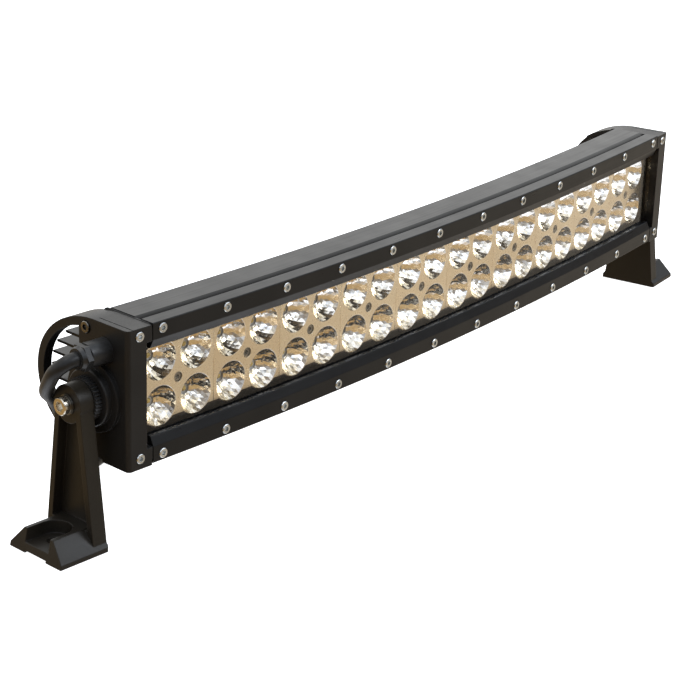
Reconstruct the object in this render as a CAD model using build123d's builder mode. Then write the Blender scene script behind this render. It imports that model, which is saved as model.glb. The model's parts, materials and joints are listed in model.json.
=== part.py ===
from build123d import *
import math
import os

# Curved dual-row LED light bar on two tilting end brackets. Millimetres.
# X runs along the bar, the lens faces -Y, Z is up, and z = 0 is the surface under the bracket feet.
# A cross-section of the bar is drawn on the plane from section(): its local x, "depth", runs from the
# front rim to the fins, its local y is height above the bar's middle, and its normal points along the
# bar towards +X. Lengths along the bar are arc lengths of the front rim, measured from the middle.

# ---- Driving dimensions ----------------------------------------------------------------------------
BEND_RADIUS = 2900.0        # front rim, seen from above
BODY_HALF_ARC = 264.0       # middle of the bar to an end plate's inner face
HALF_HEIGHT = 39.5
BAR_HEIGHT = 83.5           # the middle of the bar
PIVOT_DROP = 3.0            # the pivots lie this far below it
PIVOT_DEPTH = 25.5

BEZEL_DEPTH = 9.2
FACE_EDGE = 30.1            # where the flat front of a bezel ends
LIP_EDGE = 24.8             # inner edge of a bezel
LIP_FRONT = 2.5
LENS_FRONT = 5.0
LENS_THICKNESS = 3.0
LENS_HALF_HEIGHT = 29.5
FIT_GAP = 0.3
RIM_SCREW_PITCH = 46.75
RIM_SCREWS = 12
RIM_SCREW_HEIGHT = 35.4
RIM_SCREW_RADIUS = 1.5
RIM_SCREW_END = 22.0
RIM_HEAD_RADIUS = 2.8
RIM_HEAD_HEIGHT = 2.8
RIM_KEY = 1.25
HEAD_PROUD = 0.6

MODULES = 10
MODULE_PITCH = 52.8
CUP_PITCH = 26.0
CUP_RADIUS = 11.3
CUP_DEPTH = 9.0
CUP_WALL = 0.8
CUP_FLOOR_RADIUS = 3.2
MODULE_HALF_HEIGHT = 21.2
FACE_THICKNESS = 1.2
POST_RADIUS = 4.0
REFLECTOR_FRONT = 9.4
MODULE_SCREW_RADIUS = 1.4
MODULE_SCREW_END = 23.8
MODULE_HEAD_RADIUS = 2.6
MODULE_HEAD_HEIGHT = 1.6
MODULE_HEAD_SUNK = 0.6      # the recess the head sits in is this much deeper than the head
MODULE_KEY = 1.1
BOARD_FRONT = 19.5
BOARD_THICKNESS = 1.6       # room left for a board behind the reflectors
BOARDS = 5
BOARD_BACK = 20.9
BOARD_SHEET = 0.8
BOARD_GAP = 1.6
EMITTER_BACK = 19.8
EMITTER_SIDE = 3.4
EMITTER_BASE = 0.6
EMITTER_DOME = 1.2

DRIVER_ARC = -150.0
DRIVER_FRONT = 25.4
DRIVER_SHEET = 1.6
DRIVER_LENGTH = 118.0
DRIVER_WIDTH = 38.0

CHANNEL_HALF = 27.2
SLOT_FLOOR = 37.4           # floor of the dark slot between bezel and housing
SLOT_BACK = 11.0
SPINE_BACK = 36.5
TUNNEL_FRONT = 24.6
TUNNEL_BACK = 32.0
TUNNEL_HALF = 21.0
FIN_PITCH = 7.2
FIN_THICKNESS = 1.5
FIN_CENTRE = 30.0           # the ellipse that the fin tips lie on
FIN_REACH = 41.0
FIN_RISE = 30.5
FIN_OVERRUN = 10.0          # how far the fin ends run on into the end guards
FIN_NOTCH = 40.4            # where those ends start, clear of the end plates' webs

GASKET_THICKNESS = 1.0
PLATE_OUT = 17.5            # outer face of an end plate, from the end of the housing
PLATE_HALF = 38.8
PLATE_FOOT_DEPTH = 21.0     # the front of a plate reaches a little lower, as far back as this
PLATE_FOOT = 40.2
WINDOW_NOTCH = 4.5          # how far a plate is cut back at the end of the window
WINDOW_NOTCH_HALF = 29.8
PLATE_EDGE = 2.5            # rounding of a plate's upright outer edge
GUARD_START = 26.0          # depth at which the flat top turns into the round guard
GUARD_APEX = 73.5
WEB_BACK = 38.4
ROOF_BACK = 56.0
HOOP_THICKNESS = 5.5
HOOP_CENTRE = 30.0          # the ellipse of the opening through the guard hoop
HOOP_REACH = 38.4
HOOP_RISE = 33.0
ROOF_WALL = 3.0
GROOVE_INSET = 4.0
SIDE_SCREW_DEPTH = 32.7
SIDE_SCREW_HEIGHT = 33.0
SIDE_SCREW_RADIUS = 2.0
SIDE_SCREW_REACH = 14.0     # how far the screws go into the housing
SIDE_HEAD_RADIUS = 3.3
SIDE_HEAD_HEIGHT = 3.0
SIDE_HEAD_SUNK = 2.0
SIDE_KEY = 1.5
FRONT_SCREW_HEIGHT = 34.2
FRONT_SCREW_INSET = 8.4
FRONT_SCREW_END = 18.0
PORT_DEPTH = 18.0           # the hole for the gland on the left, the vent on the right
PORT_HEIGHT = 24.0
PORT_FACE_RADIUS = 8.0
VENT_THREAD_RADIUS = 3.0
VENT_THREAD_LENGTH = 9.0
VENT_HEAD_RADIUS = 5.4
VENT_HEAD = 4.0

GLAND_RADIUS = 7.2
GLAND_THREAD_RADIUS = 5.0
GLAND_THREAD_LENGTH = 10.0
GLAND_BODY_OUT = 13.2
GLAND_SPIGOT = 3.5
GLAND_NUT_FLAT = 6.6
GLAND_NUT_HEX = 3.6
GLAND_OUT = 19.0
GLAND_SEAL_RADIUS = 4.8
CABLE_RADIUS = 4.0
CABLE_TAIL_IN = 12.0

BOSS_RADIUS = 20.0
BOSS_HEIGHT = 2.5
STEP_RADIUS = 16.0
STEP_HEIGHT = 6.0
RING_RADIUS = 12.2
RING_TOP = 9.9
TOOTH_COUNT = 36
ARM_INNER = 10.0
ARM_OUTER = 19.2
KNUCKLE_RADIUS = 10.6
ARM_TOP_HALF = 9.6          # half the arm's width at the pivot, and at the surface
ARM_FOOT_HALF = 19.6
FOOT_HALF = 21.0
FOOT_OUTER = 43.0
FOOT_TOP_HALF = 11.8
FOOT_HEIGHT = 13.0
FOOT_HOLE_OUT = 29.5
FOOT_HOLE_RADIUS = 4.25
FOOT_EDGE = 2.5             # height of the foot's upright edge
FOOT_BASE = 5.5
FOOT_ROUNDING = 1.2
FOOT_LEAN = math.radians(13)
POCKET_RADIUS = 9.5
RELIEF_HALF = 8.5
RELIEF_DEPTH = 1.2
ARM_WEB = 3.0
ARM_FLANGE = 3.7
SIDE_PLAY = 0.05
BOLT_RADIUS = 3.0
BOLT_CLEARANCE = 0.05
BOLT_GRIP = 12.0            # how far the bolt's hole goes in behind the plate's outer face
BOLT_HEAD_RADIUS = 4.9
BOLT_HEAD = 3.8
BOLT_KEY = 2.5
FLAT_WASHER = 0.8
FLAT_WASHER_RADIUS = 5.6
SPRING_WASHER = 0.8
SPRING_WASHER_RADIUS = 5.2

PLUG_LENGTH = 21.0
PLUG_WIDTH = 16.0
PLUG_HEIGHT = 13.0
NOSE_LENGTH = 9.0
NOSE_WIDTH = 12.0
NOSE_HEIGHT = 8.4
PIN_PITCH = 5.0
PIN_RADIUS = 1.3
PIN_LENGTH = 12.0
LOCK_WIDTH = 8.0

# ---- Places worked out from them -------------------------------------------------------------------
pivot_height = BAR_HEIGHT - PIVOT_DROP
end_angle = BODY_HALF_ARC / BEND_RADIUS
depth_over_all = (
    BEND_RADIUS * (1 - math.cos(end_angle))
    + GUARD_APEX * math.cos(end_angle)
    + PLATE_OUT * math.sin(end_angle)
)
FRONT_Y = -(depth_over_all - HEAD_PROUD) / 2
bend_axis = Axis((0, FRONT_Y + BEND_RADIUS, 0), (0, 0, 1))

os.makedirs("parts", exist_ok=True)


def section(arc):
    """The plane square to the bar at this arc length."""
    angle = arc / BEND_RADIUS
    sine, cosine = math.sin(angle), math.cos(angle)
    return Plane(
        origin=(BEND_RADIUS * sine, FRONT_Y + BEND_RADIUS * (1 - cosine), BAR_HEIGHT),
        x_dir=(-sine, cosine, 0),
        z_dir=(cosine, sine, 0),
    )


def facing(arc, height, depth=0.0):
    """The plane on the front at this arc length and height, its normal pointing forwards."""
    angle = arc / BEND_RADIUS
    sine, cosine = math.sin(angle), math.cos(angle)
    reach = BEND_RADIUS - depth
    return Plane(
        origin=(reach * sine, FRONT_Y + BEND_RADIUS - reach * cosine, BAR_HEIGHT + height),
        x_dir=(cosine, sine, 0),
        z_dir=(sine, -cosine, 0),
    )


def right_end(out):
    """The section plane this far outwards from the right end plate's inner face."""
    return section(BODY_HALF_ARC).offset(out)


def outer(out):
    """The section plane this far outwards from the right end plate's outer face."""
    return right_end(PLATE_OUT + out)


def left_outer(out):
    """As outer(), at the left end, with its normal pointing outwards and its local y down."""
    plane = section(-BODY_HALF_ARC)
    plane = Plane(origin=plane.origin, x_dir=plane.x_dir, z_dir=plane.z_dir * -1)
    return plane.offset(PLATE_OUT + out)


def bend(half_arc):
    """Revolves the pending sketch, drawn on section(-half_arc), to +half_arc."""
    revolve(axis=bend_axis, revolution_arc=math.degrees(2 * half_arc / BEND_RADIUS))


def save(builder, name):
    builder.part.label = name
    export_step(builder.part, f"parts/{name}.step")


def save_both(builder, stem):
    """Writes the right-hand piece and its mirror image for the left end."""
    save(builder, f"{stem}_right")
    with BuildPart() as mirrored:
        mirror(builder.part, about=Plane.YZ)
    save(mirrored, f"{stem}_left")


def module_arcs():
    return [(n - (MODULES - 1) / 2) * MODULE_PITCH for n in range(MODULES)]


def rim_screw_arcs():
    return [(n - (RIM_SCREWS - 1) / 2) * RIM_SCREW_PITCH for n in range(RIM_SCREWS)]


def fin_tip(height):
    """How deep a fin at this height reaches: the fin tips lie on an ellipse."""
    return FIN_CENTRE + FIN_REACH * math.sqrt(1 - (height / FIN_RISE) ** 2)


def socket_screw(head_radius, head_height, shank_radius, shank_length, key):
    """A socket cap screw: its head's top is on XY and its shank points down -Z."""
    with BuildPart() as screw:
        with BuildSketch(Plane.XY.offset(-head_height)):
            Circle(head_radius)
        extrude(amount=head_height)
        chamfer(screw.edges().group_by(Axis.Z)[-1], head_height * 0.12)
        with BuildSketch(Plane.XY.offset(-head_height - shank_length)):
            Circle(shank_radius)
        extrude(amount=shank_length)
        with BuildSketch(Plane.XY.offset(-head_height * 0.65)):
            RegularPolygon(key, 6, major_radius=False)
        extrude(amount=head_height, mode=Mode.SUBTRACT)
    return screw.part


# ---- Housing: one bent extrusion -------------------------------------------------------------------
floor_depth = BOARD_FRONT + BOARD_THICKNESS
fin_heights = [n * FIN_PITCH for n in range(-3, 4)]
body_points = [
    (floor_depth, 0),
    (floor_depth, CHANNEL_HALF),
    (BEZEL_DEPTH, CHANNEL_HALF),
    (BEZEL_DEPTH, SLOT_FLOOR),
    (SLOT_BACK, SLOT_FLOOR),
    (SLOT_BACK, SLOT_FLOOR + 0.8),
    (SLOT_BACK + 3.5, HALF_HEIGHT),
    (SPINE_BACK - 3.5, HALF_HEIGHT),
    (SPINE_BACK, HALF_HEIGHT - 3.5),
    (SPINE_BACK, 0),
]

with BuildPart() as housing:
    with BuildSketch(section(-BODY_HALF_ARC)):
        with BuildLine():
            Polyline(*body_points)
            mirror(about=Plane.XZ)
        make_face()
        with Locations(((TUNNEL_FRONT + TUNNEL_BACK) / 2, 0)):
            RectangleRounded(TUNNEL_BACK - TUNNEL_FRONT, 2 * TUNNEL_HALF, 1.5, mode=Mode.SUBTRACT)
    bend(BODY_HALF_ARC)
    # The fins run on past the body at both ends, inside the end guards.
    fin_root = SPINE_BACK - 2.0
    fin_half_arc = BODY_HALF_ARC + FIN_OVERRUN
    with BuildSketch(section(-fin_half_arc)):
        for fin in fin_heights:
            with Locations(((fin_root + fin_tip(fin)) / 2, fin)):
                SlotOverall(fin_tip(fin) - fin_root, FIN_THICKNESS)
    bend(fin_half_arc)
    for end_arc, outwards in ((BODY_HALF_ARC, 1), (-BODY_HALF_ARC, -1)):
        with BuildSketch(section(end_arc)):
            with Locations((FIN_NOTCH - 10.0, 0)):
                Rectangle(20.0, 2 * HALF_HEIGHT)
        extrude(amount=outwards * 2 * FIN_OVERRUN, mode=Mode.SUBTRACT)
    # Tapped holes for the bezel screws, the reflector screws and the end plates.
    for side in (-1, 1):
        for arc in rim_screw_arcs():
            with Locations(facing(arc, side * RIM_SCREW_HEIGHT, BEZEL_DEPTH)):
                Hole(RIM_SCREW_RADIUS, RIM_SCREW_END + 1.0 - BEZEL_DEPTH)
    for arc in module_arcs():
        with Locations(facing(arc, 0, floor_depth)):
            Hole(MODULE_SCREW_RADIUS, MODULE_SCREW_END + 0.2 - floor_depth)
    for end_arc in (BODY_HALF_ARC, -BODY_HALF_ARC):
        with BuildSketch(section(end_arc)):
            with Locations((SIDE_SCREW_DEPTH, SIDE_SCREW_HEIGHT), (SIDE_SCREW_DEPTH, -SIDE_SCREW_HEIGHT)):
                Circle(SIDE_SCREW_RADIUS)
        extrude(amount=SIDE_SCREW_REACH, both=True, mode=Mode.SUBTRACT)
save(housing, "housing")

# ---- Bezels, lens and seal -------------------------------------------------------------------------
pocket_half = LENS_HALF_HEIGHT + FIT_GAP
bezel_points = [
    (0, HALF_HEIGHT),
    (0, FACE_EDGE),
    (LIP_FRONT, LIP_EDGE),
    (LENS_FRONT, LIP_EDGE),
    (LENS_FRONT, pocket_half),
    (BEZEL_DEPTH, pocket_half),
    (BEZEL_DEPTH, HALF_HEIGHT),
]


def bezel(name, side):
    with BuildPart() as strip:
        with BuildSketch(section(-BODY_HALF_ARC)) as face:
            Polygon(*[(depth, side * height) for depth, height in bezel_points], align=None)
            fillet(face.vertices().group_by(Axis.X)[0], 0.6)
            fillet(face.vertices().sort_by(lambda v: abs(v.Y))[:2], 0.5)
        bend(BODY_HALF_ARC)
        for arc in rim_screw_arcs():
            with Locations(facing(arc, side * RIM_SCREW_HEIGHT)):
                CounterBoreHole(
                    RIM_SCREW_RADIUS,
                    RIM_HEAD_RADIUS + 0.2,
                    RIM_HEAD_HEIGHT - HEAD_PROUD,
                    BEZEL_DEPTH + 1.0,
                )
    save(strip, name)


bezel("bezel_top", 1)
bezel("bezel_bottom", -1)

lens_arc = BODY_HALF_ARC + WINDOW_NOTCH - FIT_GAP      # it runs into the end plates
lens_back = LENS_FRONT + LENS_THICKNESS
with BuildPart() as lens:
    with BuildSketch(section(-lens_arc)):
        with Locations(((LENS_FRONT + lens_back) / 2, 0)):
            Rectangle(LENS_THICKNESS, 2 * LENS_HALF_HEIGHT)
    bend(lens_arc)
save(lens, "lens")

with BuildPart() as lens_seal:
    with BuildSketch(section(-lens_arc)):
        with Locations(((lens_back + BEZEL_DEPTH) / 2, 0)):
            Rectangle(BEZEL_DEPTH - lens_back, 2 * LENS_HALF_HEIGHT)
            Rectangle(BEZEL_DEPTH - lens_back, 2 * CHANNEL_HALF, mode=Mode.SUBTRACT)
    bend(lens_arc)
save(lens_seal, "lens_seal")

rim_screw = socket_screw(
    RIM_HEAD_RADIUS, RIM_HEAD_HEIGHT, RIM_SCREW_RADIUS, RIM_SCREW_END - RIM_HEAD_HEIGHT + HEAD_PROUD, RIM_KEY
)


def rim_screws(name, side):
    with BuildPart() as screws:
        seats = [facing(arc, side * RIM_SCREW_HEIGHT).offset(HEAD_PROUD) for arc in rim_screw_arcs()]
        with Locations(*seats):
            add(rim_screw)
    save(screws, name)


rim_screws("bezel_screws_top", 1)
rim_screws("bezel_screws_bottom", -1)

# ---- Reflector modules, boards, LEDs ---------------------------------------------------------------
cup_places = [(a * CUP_PITCH / 2, b * CUP_PITCH / 2) for a in (-1, 1) for b in (-1, 1)]


def reflector(name, arc):
    """A 2 x 2 block: face plate, four open cups reaching to the board, and a screw post in the middle."""
    front = facing(arc, 0, REFLECTOR_FRONT)
    post = BOARD_FRONT - REFLECTOR_FRONT
    with BuildPart() as block:
        with BuildSketch(front.offset(-FACE_THICKNESS)):
            Rectangle(MODULE_PITCH - FIT_GAP, 2 * MODULE_HALF_HEIGHT)
            with Locations(*cup_places):
                Circle(CUP_RADIUS + CUP_WALL)
        extrude(amount=FACE_THICKNESS)
        for place in cup_places:
            with BuildSketch(front):
                with Locations(place):
                    Circle(CUP_RADIUS + CUP_WALL)
            with BuildSketch(front.offset(-CUP_DEPTH)):
                with Locations(place):
                    Circle(CUP_FLOOR_RADIUS + CUP_WALL)
            loft()
        with BuildSketch(front.offset(-post)):
            Circle(POST_RADIUS)
        extrude(amount=post)
        for place in cup_places:
            with BuildSketch(front):
                with Locations(place):
                    Circle(CUP_RADIUS)
            with BuildSketch(front.offset(-CUP_DEPTH)):
                with Locations(place):
                    Circle(CUP_FLOOR_RADIUS)
            loft(mode=Mode.SUBTRACT)
        with Locations(front):
            CounterBoreHole(MODULE_SCREW_RADIUS, MODULE_HEAD_RADIUS + 0.3, MODULE_HEAD_HEIGHT + MODULE_HEAD_SUNK)
    save(block, name)


for number, arc in enumerate(module_arcs(), 1):
    reflector(f"reflector_{number:02d}", arc)

module_screw = socket_screw(
    MODULE_HEAD_RADIUS,
    MODULE_HEAD_HEIGHT,
    MODULE_SCREW_RADIUS,
    MODULE_SCREW_END - REFLECTOR_FRONT - MODULE_HEAD_SUNK - MODULE_HEAD_HEIGHT,
    MODULE_KEY,
)
with BuildPart() as module_screws:
    with Locations(*[facing(arc, 0, REFLECTOR_FRONT + MODULE_HEAD_SUNK) for arc in module_arcs()]):
        add(module_screw)
save(module_screws, "module_screws")

# Each flat board spans two modules on the curved floor, so it stands a little clear of the floor.
board_pitch = 2 * MODULE_PITCH
for number in range(BOARDS):
    arc = (number - (BOARDS - 1) / 2) * board_pitch
    with BuildPart() as board:
        with BuildSketch(facing(arc, 0, BOARD_BACK)):
            Rectangle(board_pitch - BOARD_GAP, 2 * CHANNEL_HALF - 2.0)
            with Locations((-MODULE_PITCH / 2, 0), (MODULE_PITCH / 2, 0)):
                Circle(MODULE_SCREW_RADIUS + 0.4, mode=Mode.SUBTRACT)
        extrude(amount=BOARD_SHEET)
    save(board, f"led_board_{number + 1}")

with BuildPart() as led_emitters:
    for arc in module_arcs():
        base = facing(arc, 0, EMITTER_BACK)
        with BuildSketch(base):
            with Locations(*cup_places):
                Rectangle(EMITTER_SIDE, EMITTER_SIDE)
        extrude(amount=EMITTER_BASE)
        with BuildSketch(base.offset(EMITTER_BASE)):
            with Locations(*cup_places):
                Circle(EMITTER_SIDE / 2 - 0.2)
        extrude(amount=EMITTER_DOME, taper=14)
save(led_emitters, "led_emitters")

# ---- Driver, in the tunnel behind the boards -------------------------------------------------------
driver_front = facing(DRIVER_ARC, 0, DRIVER_FRONT)
driver_back = driver_front.offset(-DRIVER_SHEET)
with BuildPart() as driver_board:
    with BuildSketch(driver_front):
        Rectangle(DRIVER_LENGTH, DRIVER_WIDTH)
    extrude(amount=-DRIVER_SHEET)
save(driver_board, "driver_board")

with BuildPart() as driver_capacitors:
    with BuildSketch(driver_back):
        with Locations((-50, 11), (-50, 2), (46, -10), (46, 9)):
            Circle(3.4)
    extrude(amount=-3.8)
save(driver_capacitors, "driver_capacitors")

with BuildPart() as driver_inductors:
    with BuildSketch(driver_back):
        with Locations((-30, 8), (-30, -8), (26, 0)):
            RectangleRounded(12, 12, 2)
    extrude(amount=-4.0)
save(driver_inductors, "driver_inductors")

with BuildPart() as driver_chips:
    with BuildSketch(driver_back):
        with Locations((-12, 9), (-12, -9), (8, 9), (8, -9)):
            Rectangle(5, 6)
        with Locations((38, -4), (38, 4)):
            Rectangle(3, 3)
    extrude(amount=-1.4)
save(driver_chips, "driver_chips")

# ---- End gaskets, plates and their screws ----------------------------------------------------------
side_screw_places = [(SIDE_SCREW_DEPTH, SIDE_SCREW_HEIGHT), (SIDE_SCREW_DEPTH, -SIDE_SCREW_HEIGHT)]
with BuildPart() as end_gasket:
    with BuildSketch(right_end(0)):
        with Locations((WEB_BACK / 2, 0)):
            RectangleRounded(WEB_BACK - 1.0, 2 * HALF_HEIGHT - 1.0, 3)
        with Locations((21.5, 0)):
            RectangleRounded(23, 40, 2, mode=Mode.SUBTRACT)
        Rectangle(2 * BEZEL_DEPTH, 2 * WINDOW_NOTCH_HALF, mode=Mode.SUBTRACT)
        with Locations(*side_screw_places):
            Circle(SIDE_SCREW_RADIUS + 0.2, mode=Mode.SUBTRACT)
    extrude(amount=GASKET_THICKNESS)
save_both(end_gasket, "end_gasket")


outwards_axis = Axis((0, 0, 0), outer(0).z_dir)


def plate_front(height):
    """The plane on the right plate's front edge at this height, its normal pointing forwards."""
    end = outer(-FRONT_SCREW_INSET)
    return Plane(origin=end.from_local_coords((0, height, 0)), x_dir=end.z_dir, z_dir=end.x_dir * -1)


def end_plate(port_radius):
    """The right end plate, with a port of this radius through its web for the gland or the vent."""
    with BuildPart() as plate:
        with BuildSketch(right_end(GASKET_THICKNESS)):
            with BuildLine():
                Polyline(
                    (GUARD_START, PLATE_HALF),
                    (0, PLATE_HALF),
                    (0, -PLATE_FOOT),
                    (PLATE_FOOT_DEPTH, -PLATE_FOOT),
                    (PLATE_FOOT_DEPTH, -PLATE_HALF),
                    (GUARD_START, -PLATE_HALF),
                )
                EllipticalCenterArc(
                    (GUARD_START, 0), GUARD_APEX - GUARD_START, PLATE_HALF, start_angle=-90, arc_size=180
                )
            make_face()
        extrude(amount=PLATE_OUT - GASKET_THICKNESS)
        upright = plate.edges().filter_by(Axis.Z).sort_by(Axis.Y)[:2].sort_by(outwards_axis)[-1]
        fillet(upright, PLATE_EDGE)
        # The notch that the end of the lens runs into.
        with BuildSketch(right_end(GASKET_THICKNESS)):
            Rectangle(2 * BEZEL_DEPTH, 2 * WINDOW_NOTCH_HALF)
        extrude(amount=WINDOW_NOTCH - GASKET_THICKNESS, mode=Mode.SUBTRACT)
        # The cavity behind the web, roofed part of the way back.
        with BuildSketch(right_end(GASKET_THICKNESS)):
            with Locations((GUARD_START, 0)):
                Ellipse(GUARD_APEX - GUARD_START - ROOF_WALL, PLATE_HALF - ROOF_WALL)
            with Locations((ROOF_BACK + 50.0, 0)):
                Rectangle(100.0, 4 * PLATE_HALF)
            with Locations((WEB_BACK - 50.0, 0)):
                Rectangle(100.0, 4 * PLATE_HALF, mode=Mode.SUBTRACT)
        extrude(amount=PLATE_OUT - HOOP_THICKNESS - GASKET_THICKNESS, mode=Mode.SUBTRACT)
        # The opening through the guard hoop.
        with BuildSketch(outer(-HOOP_THICKNESS)):
            with Locations((HOOP_CENTRE, 0)):
                Ellipse(HOOP_REACH, HOOP_RISE)
            with Locations((WEB_BACK - 50.0, 0)):
                Rectangle(100.0, 4 * PLATE_HALF, mode=Mode.SUBTRACT)
        extrude(amount=HOOP_THICKNESS, mode=Mode.SUBTRACT)
        # The stepped boss that carries the bracket.
        with BuildSketch(outer(-HOOP_THICKNESS)):
            with Locations((PIVOT_DEPTH, -PIVOT_DROP)):
                Circle(BOSS_RADIUS)
        extrude(amount=HOOP_THICKNESS + BOSS_HEIGHT)
        with BuildSketch(outer(BOSS_HEIGHT)):
            with Locations((PIVOT_DEPTH, -PIVOT_DROP)):
                Circle(STEP_RADIUS)
        extrude(amount=STEP_HEIGHT - BOSS_HEIGHT)
        chamfer(plate.edges().filter_by(GeomType.CIRCLE).sort_by(outwards_axis)[-1], 0.6)
        # A thin groove across the top, near the outer face.
        with BuildSketch(outer(-GROOVE_INSET)):
            with Locations((GUARD_START / 2, PLATE_HALF)):
                Rectangle(GUARD_START, 0.8)
        extrude(amount=0.6, mode=Mode.SUBTRACT)
        # Holes: bolt, port, side screws and front screws.
        with BuildSketch(outer(STEP_HEIGHT)):
            with Locations((PIVOT_DEPTH, -PIVOT_DROP)):
                Circle(BOLT_RADIUS)
        extrude(amount=-(STEP_HEIGHT + BOLT_GRIP), mode=Mode.SUBTRACT)
        with BuildSketch(right_end(GASKET_THICKNESS)):
            with Locations((PORT_DEPTH, PORT_HEIGHT)):
                Circle(port_radius)
            with Locations(*side_screw_places):
                Circle(SIDE_SCREW_RADIUS + 0.2)
        extrude(amount=PLATE_OUT, mode=Mode.SUBTRACT)
        with BuildSketch(outer(0)):
            with Locations((PORT_DEPTH, PORT_HEIGHT)):
                Circle(PORT_FACE_RADIUS)
        extrude(amount=STEP_HEIGHT, mode=Mode.SUBTRACT)
        with BuildSketch(outer(-SIDE_HEAD_SUNK)):
            with Locations(*side_screw_places):
                Circle(SIDE_HEAD_RADIUS + 0.3)
        extrude(amount=SIDE_HEAD_SUNK, mode=Mode.SUBTRACT)
        for height in (FRONT_SCREW_HEIGHT, -FRONT_SCREW_HEIGHT):
            with Locations(plate_front(height)):
                CounterBoreHole(
                    RIM_SCREW_RADIUS,
                    RIM_HEAD_RADIUS + 0.2,
                    RIM_HEAD_HEIGHT - HEAD_PROUD,
                    FRONT_SCREW_END,
                )
    return plate


save(end_plate(VENT_THREAD_RADIUS), "end_plate_right")
with BuildPart() as end_plate_left:
    mirror(end_plate(GLAND_THREAD_RADIUS).part, about=Plane.YZ)
save(end_plate_left, "end_plate_left")

side_screw = socket_screw(
    SIDE_HEAD_RADIUS,
    SIDE_HEAD_HEIGHT,
    SIDE_SCREW_RADIUS,
    PLATE_OUT - SIDE_HEAD_SUNK + SIDE_SCREW_REACH - 1.0,
    SIDE_KEY,
)
side_seat = outer(SIDE_HEAD_HEIGHT - SIDE_HEAD_SUNK)
with BuildPart() as side_screws:
    for depth, height in side_screw_places:
        seat = Plane(
            origin=side_seat.from_local_coords((depth, height, 0)), x_dir=side_seat.x_dir, z_dir=side_seat.z_dir
        )
        with Locations(seat):
            add(side_screw)
save_both(side_screws, "end_plate_side_screws")

front_screw = socket_screw(
    RIM_HEAD_RADIUS, RIM_HEAD_HEIGHT, RIM_SCREW_RADIUS, FRONT_SCREW_END - RIM_HEAD_HEIGHT - 1.0, RIM_KEY
)
with BuildPart() as front_screws:
    with Locations(*[plate_front(height).offset(HEAD_PROUD) for height in (FRONT_SCREW_HEIGHT, -FRONT_SCREW_HEIGHT)]):
        add(front_screw)
save_both(front_screws, "end_plate_front_screws")

# ---- Pivot: serrated ring, bracket, washers and bolt -----------------------------------------------
with BuildPart() as serrated_ring:
    with BuildSketch(outer(STEP_HEIGHT)):
        with Locations((PIVOT_DEPTH, -PIVOT_DROP)):
            Circle(RING_RADIUS)
            Circle(BOLT_RADIUS + 0.1, mode=Mode.SUBTRACT)
        with Locations((PIVOT_DEPTH, -PIVOT_DROP)):
            with PolarLocations(RING_RADIUS, TOOTH_COUNT):
                Rectangle(1.6, 1.2, rotation=45, mode=Mode.SUBTRACT)
    extrude(amount=RING_TOP - STEP_HEIGHT)
save_both(serrated_ring, "serrated_ring")


def arm_half(drop):
    """Half the arm's width at this distance below the pivot."""
    return ARM_TOP_HALF + (ARM_FOOT_HALF - ARM_TOP_HALF) * drop / pivot_height


def arm_outline(top, bottom, inset):
    """The corners of the arm between two distances below the pivot, each side drawn in by inset."""
    upper = arm_half(top) - inset
    lower = arm_half(bottom) - inset
    return [
        (PIVOT_DEPTH - upper, -PIVOT_DROP - top),
        (PIVOT_DEPTH + upper, -PIVOT_DROP - top),
        (PIVOT_DEPTH + lower, -PIVOT_DROP - bottom),
        (PIVOT_DEPTH - lower, -PIVOT_DROP - bottom),
    ]


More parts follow.
